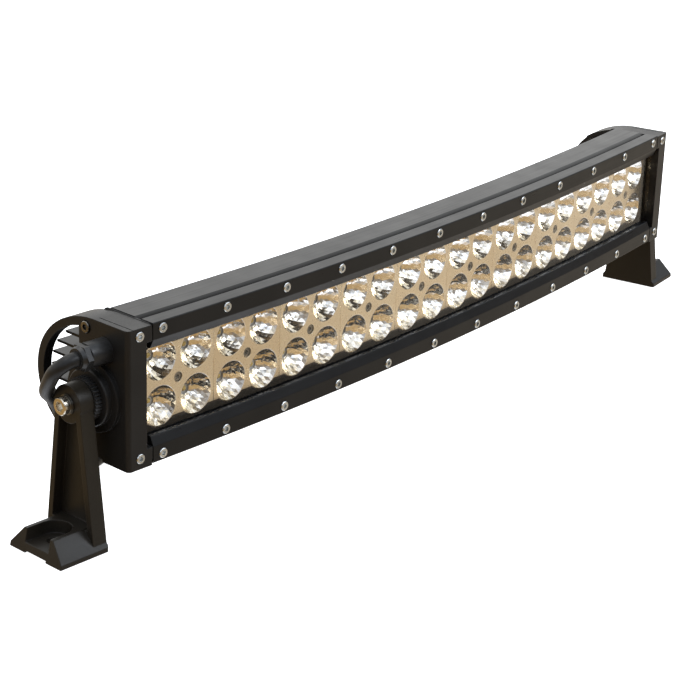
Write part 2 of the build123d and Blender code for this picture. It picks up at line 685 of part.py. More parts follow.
with BuildPart() as bracket:
    # The arm: a channel open on its outer side, with a round knuckle at the top.
    with BuildSketch(outer(ARM_INNER)):
        Polygon(*arm_outline(0, pivot_height - FOOT_EDGE, 0), align=None)
        with Locations((PIVOT_DEPTH, -PIVOT_DROP)):
            Circle(KNUCKLE_RADIUS)
    extrude(amount=ARM_OUTER - ARM_INNER)
    with BuildSketch(outer(ARM_INNER + ARM_WEB)) as channel:
        Polygon(*arm_outline(4.0, pivot_height - FOOT_HEIGHT + 0.5, ARM_FLANGE), align=None)
        with Locations((PIVOT_DEPTH, -PIVOT_DROP)):
            Circle(KNUCKLE_RADIUS, mode=Mode.SUBTRACT)
    extrude(amount=ARM_OUTER, mode=Mode.SUBTRACT)
    # The foot: a wedge-sided block, drawn in the arm's plane.
    with BuildSketch(outer(ARM_INNER)):
        Polygon(
            (PIVOT_DEPTH - FOOT_HALF, -BAR_HEIGHT),
            (PIVOT_DEPTH + FOOT_HALF, -BAR_HEIGHT),
            (PIVOT_DEPTH + FOOT_HALF, -BAR_HEIGHT + FOOT_EDGE),
            (PIVOT_DEPTH + FOOT_TOP_HALF, -BAR_HEIGHT + FOOT_HEIGHT),
            (PIVOT_DEPTH - FOOT_TOP_HALF, -BAR_HEIGHT + FOOT_HEIGHT),
            (PIVOT_DEPTH - FOOT_HALF, -BAR_HEIGHT + FOOT_EDGE),
            align=None,
        )
    extrude(amount=FOOT_OUTER - ARM_INNER)
    # Its outer end leans in towards the top.
    lean = outer(0)
    lean_plane = Plane(
        origin=lean.from_local_coords((0, -BAR_HEIGHT, FOOT_OUTER)),
        x_dir=lean.x_dir,
        z_dir=lean.z_dir * math.cos(FOOT_LEAN) + Vector(0, 0, 1) * math.sin(FOOT_LEAN),
    )
    split(bisect_by=lean_plane, keep=Keep.BOTTOM)
    upright = bracket.edges().filter_by(Axis.Z).group_by(Axis.Z)[0]
    fillet(upright, FOOT_ROUNDING)
    # The pocket over the bolt hole, open outwards, and the groove underneath.
    foot_hole = lean.from_local_coords((PIVOT_DEPTH, -BAR_HEIGHT, FOOT_HOLE_OUT))
    foot_plane = Plane(origin=foot_hole, x_dir=lean.z_dir, z_dir=(0, 0, 1))
    with BuildSketch(foot_plane.offset(FOOT_BASE)):
        Circle(POCKET_RADIUS)
        with Locations((FOOT_OUTER / 2, 0)):
            Rectangle(FOOT_OUTER, 2 * POCKET_RADIUS)
    extrude(amount=FOOT_HEIGHT, mode=Mode.SUBTRACT)
    with BuildSketch(foot_plane):
        with Locations((FOOT_OUTER / 2 - 6.0, 0)):
            Rectangle(FOOT_OUTER, 2 * RELIEF_HALF)
        Circle(FOOT_HOLE_RADIUS + 3.0, mode=Mode.SUBTRACT)
    extrude(amount=RELIEF_DEPTH, mode=Mode.SUBTRACT)
    with BuildSketch(foot_plane):
        Circle(FOOT_HOLE_RADIUS)
    extrude(amount=FOOT_HEIGHT, mode=Mode.SUBTRACT)
    # The bore for the pivot bolt.
    with BuildSketch(outer(ARM_INNER)):
        with Locations((PIVOT_DEPTH, -PIVOT_DROP)):
            Circle(BOLT_RADIUS + BOLT_CLEARANCE)
    extrude(amount=ARM_OUTER, mode=Mode.SUBTRACT)
save_both(bracket, "bracket")


def washer(stem, radius, start, thickness):
    with BuildPart() as ring:
        with BuildSketch(outer(start)):
            with Locations((PIVOT_DEPTH, -PIVOT_DROP)):
                Circle(radius)
                Circle(BOLT_RADIUS + BOLT_CLEARANCE, mode=Mode.SUBTRACT)
        extrude(amount=thickness)
    save_both(ring, stem)


washer_start = ARM_OUTER + SIDE_PLAY
washer("flat_washer", FLAT_WASHER_RADIUS, washer_start, FLAT_WASHER)
washer("spring_washer", SPRING_WASHER_RADIUS, washer_start + FLAT_WASHER, SPRING_WASHER)

head_start = washer_start + FLAT_WASHER + SPRING_WASHER
bolt_seat = outer(head_start + BOLT_HEAD)
bolt_template = socket_screw(
    BOLT_HEAD_RADIUS, BOLT_HEAD, BOLT_RADIUS, head_start + BOLT_GRIP - 1.0, BOLT_KEY
)
with BuildPart() as pivot_bolt:
    seat = Plane(
        origin=bolt_seat.from_local_coords((PIVOT_DEPTH, -PIVOT_DROP, 0)), x_dir=bolt_seat.x_dir, z_dir=bolt_seat.z_dir
    )
    with Locations(seat):
        add(bolt_template)
save_both(pivot_bolt, "pivot_bolt")

# ---- Vent plug in the right plate's port -----------------------------------------------------------
with BuildPart() as vent_plug:
    with BuildSketch(outer(-VENT_THREAD_LENGTH)):
        with Locations((PORT_DEPTH, PORT_HEIGHT)):
            Circle(VENT_THREAD_RADIUS)
    extrude(amount=VENT_THREAD_LENGTH)
    with BuildSketch(outer(0)):
        with Locations((PORT_DEPTH, PORT_HEIGHT)):
            Circle(VENT_HEAD_RADIUS)
    extrude(amount=VENT_HEAD)
    chamfer(vent_plug.edges().filter_by(GeomType.CIRCLE).sort_by(outwards_axis)[-1], 0.8)
save(vent_plug, "vent_plug")

# ---- Cable gland in the left plate's port ----------------------------------------------------------
port_left = (PORT_DEPTH, -PORT_HEIGHT)      # local y points down on left_outer()
with BuildPart() as gland_body:
    with BuildSketch(left_outer(-GLAND_THREAD_LENGTH)):
        with Locations(port_left):
            Circle(GLAND_THREAD_RADIUS)
    extrude(amount=GLAND_THREAD_LENGTH)
    with BuildSketch(left_outer(0)):
        with Locations(port_left):
            Circle(GLAND_RADIUS)
    extrude(amount=GLAND_BODY_OUT)
    with BuildSketch(left_outer(GLAND_BODY_OUT)):
        with Locations(port_left):
            Circle(GLAND_THREAD_RADIUS)
    extrude(amount=GLAND_SPIGOT)
    with BuildSketch(left_outer(-GLAND_THREAD_LENGTH)):
        with Locations(port_left):
            Circle(CABLE_RADIUS + 0.2)
    extrude(amount=GLAND_OUT + GLAND_THREAD_LENGTH, mode=Mode.SUBTRACT)
save(gland_body, "gland_body")

with BuildPart() as gland_nut:
    with BuildSketch(left_outer(GLAND_BODY_OUT)):
        with Locations(port_left):
            RegularPolygon(GLAND_NUT_FLAT, 6, major_radius=False)
    extrude(amount=GLAND_NUT_HEX)
    with BuildSketch(left_outer(GLAND_BODY_OUT + GLAND_NUT_HEX)):
        with Locations(port_left):
            Circle(GLAND_NUT_FLAT)
    extrude(amount=GLAND_OUT - GLAND_BODY_OUT - GLAND_NUT_HEX, taper=22)
    with BuildSketch(left_outer(GLAND_BODY_OUT)):
        with Locations(port_left):
            Circle(GLAND_THREAD_RADIUS + 0.1)
    extrude(amount=GLAND_SPIGOT, mode=Mode.SUBTRACT)
    with BuildSketch(left_outer(GLAND_BODY_OUT)):
        with Locations(port_left):
            Circle(GLAND_SEAL_RADIUS)
    extrude(amount=GLAND_OUT, mode=Mode.SUBTRACT)
save(gland_nut, "gland_nut")

with BuildPart() as gland_seal:
    with BuildSketch(left_outer(GLAND_BODY_OUT + GLAND_SPIGOT)):
        with Locations(port_left):
            Circle(GLAND_SEAL_RADIUS)
            Circle(CABLE_RADIUS, mode=Mode.SUBTRACT)
    extrude(amount=GLAND_OUT - GLAND_BODY_OUT - GLAND_SPIGOT)
save(gland_seal, "gland_seal")

# ---- Power cable -----------------------------------------------------------------------------------
with BuildPart() as cable_tail:
    with BuildSketch(left_outer(-CABLE_TAIL_IN)):
        with Locations(port_left):
            Circle(CABLE_RADIUS)
    extrude(amount=GLAND_OUT + CABLE_TAIL_IN)
save(cable_tail, "cable_tail")

# The route's corners, from the gland, down behind the bracket's arm and along the surface behind the bar.
cable_route = [
    (-298.35, -9.85, 107.5),
    (-301.53, -9.55, 107.5),
    (-305.0, -8.0, 106.1),
    (-307.1, -5.7, 103.7),
    (-307.5, -2.7, 100.4),
    (-305.6, 1.8, 95.3),
    (-302.6, 7.3, 89.3),
    (-297.9, 13.2, 83.1),
    (-291.7, 16.9, 78.6),
    (-286.0, 17.9, 72.5),
    (-282.7, 17.2, 64.5),
    (-281.9, 15.9, 55.5),
    (-281.6, 15.9, 45.5),
    (-279.4, 19.2, 35.0),
    (-273.0, 28.7, 25.5),
    (-265.0, 34.7, 15.5),
    (-253.0, 42.7, 8.0),
    (-237.5, 51.2, 4.1),
    (-215.0, 58.7, 4.1),
    (-187.5, 62.2, 4.1),
    (-155.5, 60.2, 4.1),
    (-122.0, 53.2, 4.1),
    (-89.5, 48.7, 4.1),
    (-59.5, 48.7, 5.0),
    (-37.0, 50.2, 6.3),
    (-20.0, 50.7, 6.5),
    (-8.0, 50.7, 6.5),
]
corners = [Vector(*point) for point in cable_route]


def corner_radius(before, corner, after):
    """The largest arc that leaves a little of both runs straight."""
    run_in, run_out = corner - before, after - corner
    turn = math.radians(run_in.get_angle(run_out))
    return 0.45 * min(run_in.length, run_out.length) / math.tan(turn / 2)


radii = [corner_radius(*corners[n : n + 3]) for n in range(len(corners) - 2)]
with BuildPart() as power_cable:
    with BuildLine() as path:
        FilletPolyline(*corners, radius=radii)
    with BuildSketch(Plane(origin=corners[0], z_dir=corners[1] - corners[0])):
        Circle(CABLE_RADIUS)
    sweep()
save(power_cable, "power_cable")
cable_length = sum(edge.length for edge in path.edges())
print("cable radii", [round(radius, 1) for radius in radii])
print("cable length", round(cable_length, 1), "section x length", math.pi * CABLE_RADIUS**2 * cable_length)
print("cable volume", power_cable.part.volume)

# ---- Two-way connector on the cable's end, lying on the surface -----------------------------------
plug_y, plug_z = corners[-1].Y, corners[-1].Z
plug_x = corners[-1].X
rear_seal_end = plug_x + 5.0
plug_shoulder = rear_seal_end + PLUG_LENGTH
nose_end = plug_shoulder + NOSE_LENGTH
pin_places = [(-PIN_PITCH / 2, 0), (PIN_PITCH / 2, 0)]


def across(x):
    """The plane across the connector at this x: local x along +Y, local y up."""
    return Plane(origin=(x, plug_y, plug_z), x_dir=(0, 1, 0), z_dir=(1, 0, 0))


with BuildPart() as connector_body:
    with BuildSketch(across(rear_seal_end)):
        RectangleRounded(PLUG_WIDTH, PLUG_HEIGHT, 2.0)
    extrude(amount=PLUG_LENGTH)
    chamfer(connector_body.edges().group_by(Axis.X)[0], 0.8)
    with BuildSketch(across(plug_shoulder)):
        RectangleRounded(NOSE_WIDTH, NOSE_HEIGHT, 2.0)
    extrude(amount=NOSE_LENGTH)
    with BuildSketch(across(nose_end)):
        with Locations(*pin_places):
            Circle(PIN_RADIUS + 0.1)
    extrude(amount=-PIN_LENGTH - 2.0, mode=Mode.SUBTRACT)
save(connector_body, "connector_body")

with BuildPart() as connector_seal:
    with BuildSketch(across(plug_x)):
        Circle(CABLE_RADIUS + 1.2)
    extrude(amount=rear_seal_end - plug_x)
    with BuildSketch(across(plug_shoulder)):
        RectangleRounded(NOSE_WIDTH + 1.6, NOSE_HEIGHT + 1.6, 2.6)
        RectangleRounded(NOSE_WIDTH, NOSE_HEIGHT, 2.0, mode=Mode.SUBTRACT)
    extrude(amount=2.4)
save(connector_seal, "connector_seal")

with BuildPart() as connector_pins:
    with BuildSketch(across(nose_end - 0.4)):
        with Locations(*pin_places):
            Circle(PIN_RADIUS)
            Circle(PIN_RADIUS - 0.4, mode=Mode.SUBTRACT)
    extrude(amount=-PIN_LENGTH)
save(connector_pins, "connector_pins")

with BuildPart() as connector_lock:
    lock_top = Plane(origin=(rear_seal_end, plug_y, plug_z + PLUG_HEIGHT / 2))
    with BuildSketch(lock_top):
        with Locations((PLUG_LENGTH / 2 - 6.0, 0)):
            Rectangle(4.0, LOCK_WIDTH)
    extrude(amount=1.0)
    with BuildSketch(lock_top.offset(1.0)):
        with Locations((PLUG_LENGTH / 2, 0)):
            RectangleRounded(16.0, LOCK_WIDTH, 1.0)
    extrude(amount=1.2)
save(connector_lock, "connector_lock")
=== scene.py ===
import json
import math
import random

import bmesh
import bpy
from mathutils import Matrix, Vector


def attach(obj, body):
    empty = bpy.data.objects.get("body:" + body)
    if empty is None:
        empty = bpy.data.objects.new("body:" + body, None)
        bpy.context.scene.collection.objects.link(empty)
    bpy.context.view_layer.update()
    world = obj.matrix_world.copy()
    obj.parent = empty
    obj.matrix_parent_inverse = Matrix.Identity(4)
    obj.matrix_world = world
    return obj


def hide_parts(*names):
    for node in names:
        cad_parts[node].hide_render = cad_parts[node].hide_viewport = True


# A curved dual-row LED light bar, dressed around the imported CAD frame. Metres, in the CAD row frame:
# +X along the bar, the lens faces -Y, +Z up, z = 0 under the feet.
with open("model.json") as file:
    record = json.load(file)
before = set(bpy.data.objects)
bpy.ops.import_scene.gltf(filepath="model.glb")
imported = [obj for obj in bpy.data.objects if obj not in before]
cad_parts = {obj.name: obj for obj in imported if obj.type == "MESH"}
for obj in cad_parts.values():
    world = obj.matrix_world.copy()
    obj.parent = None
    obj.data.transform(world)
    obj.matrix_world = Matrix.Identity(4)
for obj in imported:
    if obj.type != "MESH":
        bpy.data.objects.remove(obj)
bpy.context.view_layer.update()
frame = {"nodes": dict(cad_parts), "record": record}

# ---- The bar's bend, as in the CAD -------------------------------------------------------------------
BEND_RADIUS = 2.9            # of the front rim, seen from above
BEZEL_DEPTH = 0.0092
SLOT_BACK = 0.011            # the slot between bezel and housing ends here, then a slope
BAR_HEIGHT = 0.0835          # the middle of the bar
FRONT_Y = -0.043097          # the front rim in the middle of the bar
BEND_CENTRE = Vector((0, FRONT_Y + BEND_RADIUS, BAR_HEIGHT))

# ---- Camera ------------------------------------------------------------------------------------------
CAMERA_AT = Vector((-0.9679, -0.6863, 0.4756))
AZIMUTH = math.radians(-53.0)
ELEVATION = math.radians(20.69)
ROLL = math.radians(1.9)
FOCAL_LENGTH = 103.12


def make_camera():
    back = Vector((
        math.sin(AZIMUTH) * math.cos(ELEVATION),
        -math.cos(AZIMUTH) * math.cos(ELEVATION),
        math.sin(ELEVATION),
    ))
    level_right = Vector((0, 0, 1)).cross(back).normalized()
    level_up = back.cross(level_right)
    right = math.cos(ROLL) * level_right + math.sin(ROLL) * level_up
    up = math.cos(ROLL) * level_up - math.sin(ROLL) * level_right
    camera = bpy.data.objects.new("camera", bpy.data.cameras.new("camera"))
    camera.data.lens = FOCAL_LENGTH
    camera.data.clip_start = 0.05
    camera.matrix_world = Matrix.Translation(CAMERA_AT) @ Matrix((right, up, back)).transposed().to_4x4()
    bpy.context.scene.collection.objects.link(camera)
    bpy.context.scene.camera = camera


make_camera()

# ---- Power cable -------------------------------------------------------------------------------------
CABLE_RADIUS = 0.004
CABLE_ROUTE = [
    (-0.29835, -0.00985, 0.1075),
    (-0.30153, -0.00955, 0.1075),
    (-0.305, -0.008, 0.1061),
    (-0.3071, -0.0057, 0.1037),
    (-0.3075, -0.0027, 0.1004),
    (-0.3056, 0.0018, 0.0953),
    (-0.3026, 0.0073, 0.0893),
    (-0.2979, 0.0132, 0.0831),
    (-0.2917, 0.0169, 0.0786),
    (-0.286, 0.0179, 0.0725),
    (-0.2827, 0.0172, 0.0645),
    (-0.2819, 0.0159, 0.0555),
    (-0.2816, 0.0159, 0.0455),
    (-0.2794, 0.0192, 0.035),
    (-0.273, 0.0287, 0.0255),
    (-0.265, 0.0347, 0.0155),
    (-0.253, 0.0427, 0.008),
    (-0.2375, 0.0512, 0.0041),
    (-0.215, 0.0587, 0.0041),
    (-0.1875, 0.0622, 0.0041),
    (-0.1555, 0.0602, 0.0041),
    (-0.122, 0.0532, 0.0041),
    (-0.0895, 0.0487, 0.0041),
    (-0.0595, 0.0487, 0.005),
    (-0.037, 0.0502, 0.0063),
    (-0.02, 0.0507, 0.0065),
    (-0.008, 0.0507, 0.0065),
]


def make_cable():
    curve = bpy.data.curves.new("power_cable_jacket", "CURVE")
    curve.dimensions = "3D"
    spline = curve.splines.new("NURBS")
    spline.points.add(len(CABLE_ROUTE) - 1)
    for point, place in zip(spline.points, CABLE_ROUTE):
        point.co = (*place, 1)
        point.radius = CABLE_RADIUS
    spline.order_u = 3
    spline.use_endpoint_u = True
    spline.resolution_u = 12
    curve.bevel_depth = 1.0     # times each point's own radius
    curve.bevel_resolution = 8
    curve.use_fill_caps = True
    jacket = bpy.data.objects.new("power_cable_jacket", curve)
    bpy.context.scene.collection.objects.link(jacket)
    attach(jacket, "light")
    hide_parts("power_cable")
    return jacket


cable = make_cable()

# ---- Materials ---------------------------------------------------------------------------------------


LINE_STRETCH = 0.02          # the die's lines are this much slower along the bar than across it
SLOT_SHADE_FADE = 0.0036           # over which the slot's painted shade thins out
# Painted shade for the slot behind the bezel, nearly black.
SLOT_SHADE = (0.002, 0.002, 0.002)
DUST = (0.06, 0.057, 0.053)


class Nodes:
    """A new material's node tree, with short ways to add and join nodes."""

    def __init__(self, name):
        self.material = bpy.data.materials.new(name)
        self.material.use_nodes = True
        self.tree = self.material.node_tree
        self.shader = self.tree.nodes["Principled BSDF"]
        self.place = self.tree.nodes.new("ShaderNodeTexCoord").outputs["Object"]

    def add(self, kind, inputs=None, **settings):
        node = self.tree.nodes.new(kind)
        for key, value in settings.items():
            setattr(node, key, value)
        for key, value in (inputs or {}).items():
            if isinstance(value, bpy.types.NodeSocket):
                self.tree.links.new(value, node.inputs[key])
            else:
                node.inputs[key].default_value = value
        return node

    def set(self, **values):
        for key, value in values.items():
            socket = self.shader.inputs[key.replace("_", " ")]
            if isinstance(value, bpy.types.NodeSocket):
                self.tree.links.new(value, socket)
            else:
                socket.default_value = value

    def noise(self, scale, detail=3.0, place=None):
        return self.add(
            "ShaderNodeTexNoise", {"Vector": place or self.place, "Scale": scale, "Detail": detail}
        ).outputs["Fac"]

    def ramp(self, factor, low, high, from_low=0.3, from_high=0.7):
        """factor carried from one range to another."""
        return self.add(
            "ShaderNodeMapRange",
            {"Value": factor, "From Min": from_low, "From Max": from_high, "To Min": low, "To Max": high},
        ).outputs[0]

    def bar_depth(self):
        """How far behind the front rim a point lies, measured along the bend's radius."""
        offset = self.add("ShaderNodeVectorMath", {0: self.place, 1: BEND_CENTRE}, operation="SUBTRACT")
        flat = self.add("ShaderNodeVectorMath", {0: offset.outputs[0], 1: (1, 1, 0)}, operation="MULTIPLY")
        reach = self.add("ShaderNodeVectorMath", {0: flat.outputs[0]}, operation="LENGTH").outputs["Value"]
        return self.math(BEND_RADIUS, reach, "SUBTRACT")

    def drawn_lines(self, scale):
        """Fine lines left by the extrusion die, running along the bend."""
        across = self.add("ShaderNodeSeparateXYZ", {0: self.place}).outputs
        lines = self.add(
            "ShaderNodeCombineXYZ",
            {"X": self.math(across["X"], LINE_STRETCH, "MULTIPLY"), "Y": self.bar_depth(), "Z": across["Z"]},
        )
        return self.noise(scale, 2, lines.outputs[0])

    def math(self, first, second, operation="ADD"):
        return self.add("ShaderNodeMath", {0: first, 1: second}, operation=operation).outputs[0]

    def blend(self, factor, first, second):
        node = self.add("ShaderNodeMix", {"Factor": factor}, data_type="RGBA")
        for socket, value in ((node.inputs[6], first), (node.inputs[7], second)):
            if isinstance(value, bpy.types.NodeSocket):
                self.tree.links.new(value, socket)
            else:
                socket.default_value = (*value, 1)
        return node.outputs[2]

    def bump(self, height, strength, distance, normal=None):
        inputs = {"Height": height, "Strength": strength, "Distance": distance}
        if normal:
            inputs["Normal"] = normal
        return self.add("ShaderNodeBump", inputs).outputs[0]

    def soft_edges(self, radius):
        return self.add("ShaderNodeBevel", {"Radius": radius}, samples=4).outputs[0]


def coated(name, dark, light, rough, grain, strength, edge, level=0.25, extruded=False):
    """Satin black coating on metal: orange-peel grain, slow change of tone, soft edges, fine dust; on
    extrusions, painted shade in the slot behind the bezel.
    """
    n = Nodes(name)
    tone = n.noise(18, 4)
    fine = n.drawn_lines(grain) if extruded else n.noise(grain, 2)
    broad = n.noise(55, 3)
    dust = n.ramp(n.noise(2600, 2), 0, 0.3, 0.68, 0.8)
    base = n.blend(n.ramp(tone, 0, 1), dark, light)
    base = n.blend(dust, base, DUST)
    shine = n.ramp(n.noise(30, 2), level - 0.02, level + 0.02)
    if extruded:
        # The slot behind the bezel gets painted shade: nearly black and without a shine.
        open_face = n.ramp(n.bar_depth(), 0, 1, SLOT_BACK, SLOT_BACK + SLOT_SHADE_FADE)
        front_face = n.ramp(n.bar_depth(), 1, 0, BEZEL_DEPTH - 0.0004, BEZEL_DEPTH)
        # 1 outside the slot, 0 in its painted shade.
        outside_slot_shade = n.math(open_face, front_face, "MAXIMUM")
        base = n.blend(outside_slot_shade, SLOT_SHADE, base)
        shine = n.math(shine, outside_slot_shade, "MULTIPLY")
    n.set(
        Base_Color=base,
        Specular_IOR_Level=shine,
        Roughness=n.math(n.ramp(fine, rough - 0.03, rough + 0.03), n.ramp(broad, -0.03, 0.03)),
        Normal=n.bump(fine, strength, 0.0002, n.soft_edges(edge)),
    )
    return n.material


def plain(name, dark, light, rough, metallic=0.0, grain=900, strength=0.1, level=0.4, edge=0.0002):
    """One even material, with a slow change of tone, a fine grain and soft edges."""
    n = Nodes(name)
    tone = n.noise(60, 3)
    fine = n.noise(grain, 2)
    n.set(
        Base_Color=n.blend(n.ramp(tone, 0, 1), dark, light),
        Metallic=metallic,
        Specular_IOR_Level=level,
        Roughness=n.ramp(fine, rough - 0.06, rough + 0.06),
        Normal=n.bump(fine, strength, 0.0001, n.soft_edges(edge)),
    )
    return n.material


def clear_lens():
    """Light passes straight through; the gloss grows towards grazing angles."""
    n = Nodes("clear_polycarbonate")
    tree = n.tree
    haze = n.noise(40, 3)
    glass = n.add("ShaderNodeBsdfTransparent", {"Color": (0.985, 0.98, 0.97, 1)})
    gloss = n.add("ShaderNodeBsdfGlossy", {"Color": (1, 1, 1, 1), "Roughness": n.ramp(haze, 0.02, 0.06)})
    facing = n.add("ShaderNodeLayerWeight", {"Blend": 0.5}).outputs["Facing"]
    edge = n.ramp(n.math(facing, 5.0, "POWER"), 0.03, 0.8, 0, 1)
    mix = n.add("ShaderNodeMixShader", {"Fac": edge})
    tree.links.new(glass.outputs[0], mix.inputs[1])
    tree.links.new(gloss.outputs[0], mix.inputs[2])
    tree.links.new(mix.outputs[0], tree.nodes["Material Output"].inputs["Surface"])
    return n.material


def plated(name, bright, warm, rough):
    """Vacuum-plated reflector: the tint attribute carries it from bright chrome to a warm tone; on the cups
    that warm tone is a painted reflection of a tan room, on the face plates it is the plates' own tone.
    """
    n = Nodes(name)
    tint = n.add("ShaderNodeAttribute", attribute_name="tint").outputs["Fac"]
    cloud = n.ramp(n.noise(160, 3), -0.12, 0.12)
    mist = n.noise(700, 3)
    n.set(
        Base_Color=n.blend(n.math(tint, cloud), bright, warm),
        Metallic=1.0,
        Roughness=n.ramp(mist, rough, rough + 0.06),
    )
    return n.material


def dress(node, material):
    """Puts the material on every slot of a CAD node."""
    piece = frame["nodes"][node]
    if not piece.material_slots:
        piece.data.materials.append(material)
    for slot in piece.material_slots:
        slot.material = material


black_extrusion = coated(
    "black_extrusion", (0.006, 0.006, 0.006), (0.009, 0.0088, 0.0085),
    rough=0.34, grain=900, strength=0.03, edge=0.0004, level=0.3, extruded=True,
)
black_bezel = coated(
    "black_bezel", (0.005, 0.005, 0.0052), (0.008, 0.008, 0.008),
    rough=0.32, grain=900, strength=0.03, edge=0.0005, level=0.2, extruded=True,
)
black_end = coated(
    "black_end_casting", (0.007, 0.0067, 0.0066), (0.011, 0.0103, 0.0098),
    rough=0.38, grain=1200, strength=0.1, edge=0.0006, level=0.22,
)
# The bracket's brownish base colour is a painted reflection of the brown room below and to its left.
black_bracket = coated(
    "black_bracket_casting", (0.01, 0.0085, 0.0065), (0.016, 0.0132, 0.0092),
    rough=0.38, grain=1100, strength=0.14, edge=0.0008, level=0.22,
)
rubber = plain("rubber", (0.008, 0.008, 0.008), (0.014, 0.014, 0.014), 0.55)
jacket_rubber = plain(
    "cable_jacket", (0.007, 0.007, 0.007), (0.012, 0.0115, 0.011), 0.42, grain=1600, strength=0.15, level=0.25
)
nylon = plain("nylon", (0.008, 0.008, 0.008), (0.013, 0.013, 0.013), 0.36, grain=1300)
steel = plain("stainless_steel", (0.44, 0.45, 0.44), (0.6, 0.61, 0.6), 0.24, 1.0)
bolt_steel = plain("bolt_steel", (0.5, 0.45, 0.36), (0.66, 0.61, 0.52), 0.2, 1.0)
washer_steel = plain("washer_steel", (0.1, 0.095, 0.085), (0.2, 0.19, 0.17), 0.32, 1.0)
dark_steel = plain("dark_steel", (0.1, 0.095, 0.085), (0.26, 0.245, 0.22), 0.24, 1.0)
oxide_steel = plain("black_oxide_steel", (0.02, 0.02, 0.021), (0.05, 0.05, 0.05), 0.38, 0.6)
white_mask = plain("white_mask", (0.7, 0.7, 0.68), (0.8, 0.8, 0.78), 0.4)
green_mask = plain("green_mask", (0.02, 0.12, 0.05), (0.03, 0.16, 0.07), 0.4)
can = plain("aluminium_can", (0.6, 0.6, 0.62), (0.7, 0.7, 0.72), 0.3, 1.0)
epoxy = plain("moulded_epoxy", (0.02, 0.02, 0.022), (0.03, 0.03, 0.032), 0.5)
silicone = plain("orange_silicone", (0.42, 0.09, 0.02), (0.5, 0.12, 0.03), 0.5)
brass = plain("brass", (0.7, 0.5, 0.2), (0.8, 0.6, 0.3), 0.3, 1.0)
phosphor = plain("phosphor", (0.5, 0.37, 0.1), (0.6, 0.46, 0.14), 0.35)
ceramic = plain("white_ceramic", (0.5, 0.49, 0.46), (0.58, 0.57, 0.54), 0.4)
lens_clear = clear_lens()
# On the cups the warm tone is a painted reflection of the tan room below and to the left.
cup_chrome = plated("cup_chrome", (0.94, 0.95, 0.97), (0.78, 0.66, 0.46), 0.05)
plate_chrome = plated("plate_chrome", (0.8, 0.71, 0.55), (0.76, 0.64, 0.46), 0.26)

by_slot = {
    "housing": black_extrusion, "bezel": black_bezel, "end_casting": black_end,
    "bracket_casting": black_bracket, "lens": lens_clear, "seal_rubber": rubber,
    "reflector_chrome": plate_chrome, "led_phosphor": phosphor, "board_white": white_mask,
    "dark_screw": dark_steel, "screw_steel": steel, "bolt_steel": bolt_steel, "ring_steel": oxide_steel,
    "gland_nylon": nylon, "cable_jacket": jacket_rubber, "driver_laminate": green_mask,
    "capacitor_can": can, "chip_plastic": epoxy, "connector_plastic": nylon,
    "connector_seal": silicone, "pin_brass": brass,
}
for part in frame["record"]["subparts"]:
    dress(part["node"], by_slot[part["material_slot"]])
for side in ("left", "right"):
    dress(f"end_plate_side_screws_{side}", dark_steel)
    dress(f"flat_washer_{side}", washer_steel)
    dress(f"spring_washer_{side}", washer_steel)
cable.data.materials.append(jacket_rubber)

# ---- Reflector modules -------------------------------------------------------------------------------
MODULES = 10
MODULE_PITCH = 0.0528
CUP_PITCH = 0.026
CUP_RADIUS = 0.0113
CUP_WALL = 0.0008
CUP_FLOOR = 0.0032
CUP_DEPTH = 0.009
REFLECTOR_DEPTH = 0.0094
PLATE_HALF_LENGTH = 0.02625
PLATE_HALF_HEIGHT = 0.0212
PLATE_THICKNESS = 0.0012
PLATE_ROUNDING = 0.00015
HOLE_GAP = 0.0001            # between a cup and the plate around it
POST_RADIUS = 0.004
POST_BORE = 0.0014
POST_LENGTH = 0.0101
SCREW_RECESS = 0.0029
SCREW_RECESS_DEPTH = 0.0022
HAIR = 0.0001                # keeps two surfaces from lying in one plane
RIM_WIDTH = 0.0003
FLUTES = 26
RINGS = 6
FACET_WOBBLE = 0.00009
# How much each facet's painted reflection differs at random.
TINT_SPREAD = 0.3
PAINTED_HIGHLIGHT_SIDE = 0.8            # radians from the module's x: the painted reflection is brightest and coolest there


def module_frame(arc, depth):
    """Local x along the bar, y up, z forwards, on the front at this arc length and depth."""
    angle = arc / BEND_RADIUS
    along = Vector((math.cos(angle), math.sin(angle), 0))
    forwards = Vector((math.sin(angle), -math.cos(angle), 0))
    at = BEND_CENTRE + (BEND_RADIUS - depth) * forwards
    return Matrix.Translation(at) @ Matrix((along, Vector((0, 0, 1)), forwards)).transposed().to_4x4()


def arc_points(centre, radius, start, end, count):
    steps = [start + (end - start) * n / count for n in range(count + 1)]
    return [(centre[0] + radius * math.cos(a), centre[1] + radius * math.sin(a)) for a in steps]


def scalloped_outline():
    """The face plate's outline: a rectangle with the cups' rims standing out of its long sides."""
    radius = CUP_RADIUS + CUP_WALL
    half = CUP_PITCH / 2
    lift = math.asin((PLATE_HALF_HEIGHT - half) / radius)
    lower = [(-PLATE_HALF_LENGTH, -PLATE_HALF_HEIGHT)]
    for side in (-1, 1):
        lower += arc_points((side * half, -half), radius, math.pi + lift, 2 * math.pi - lift, 24)
    lower.append((PLATE_HALF_LENGTH, -PLATE_HALF_HEIGHT))
    return lower + [(-x, -y) for x, y in lower]


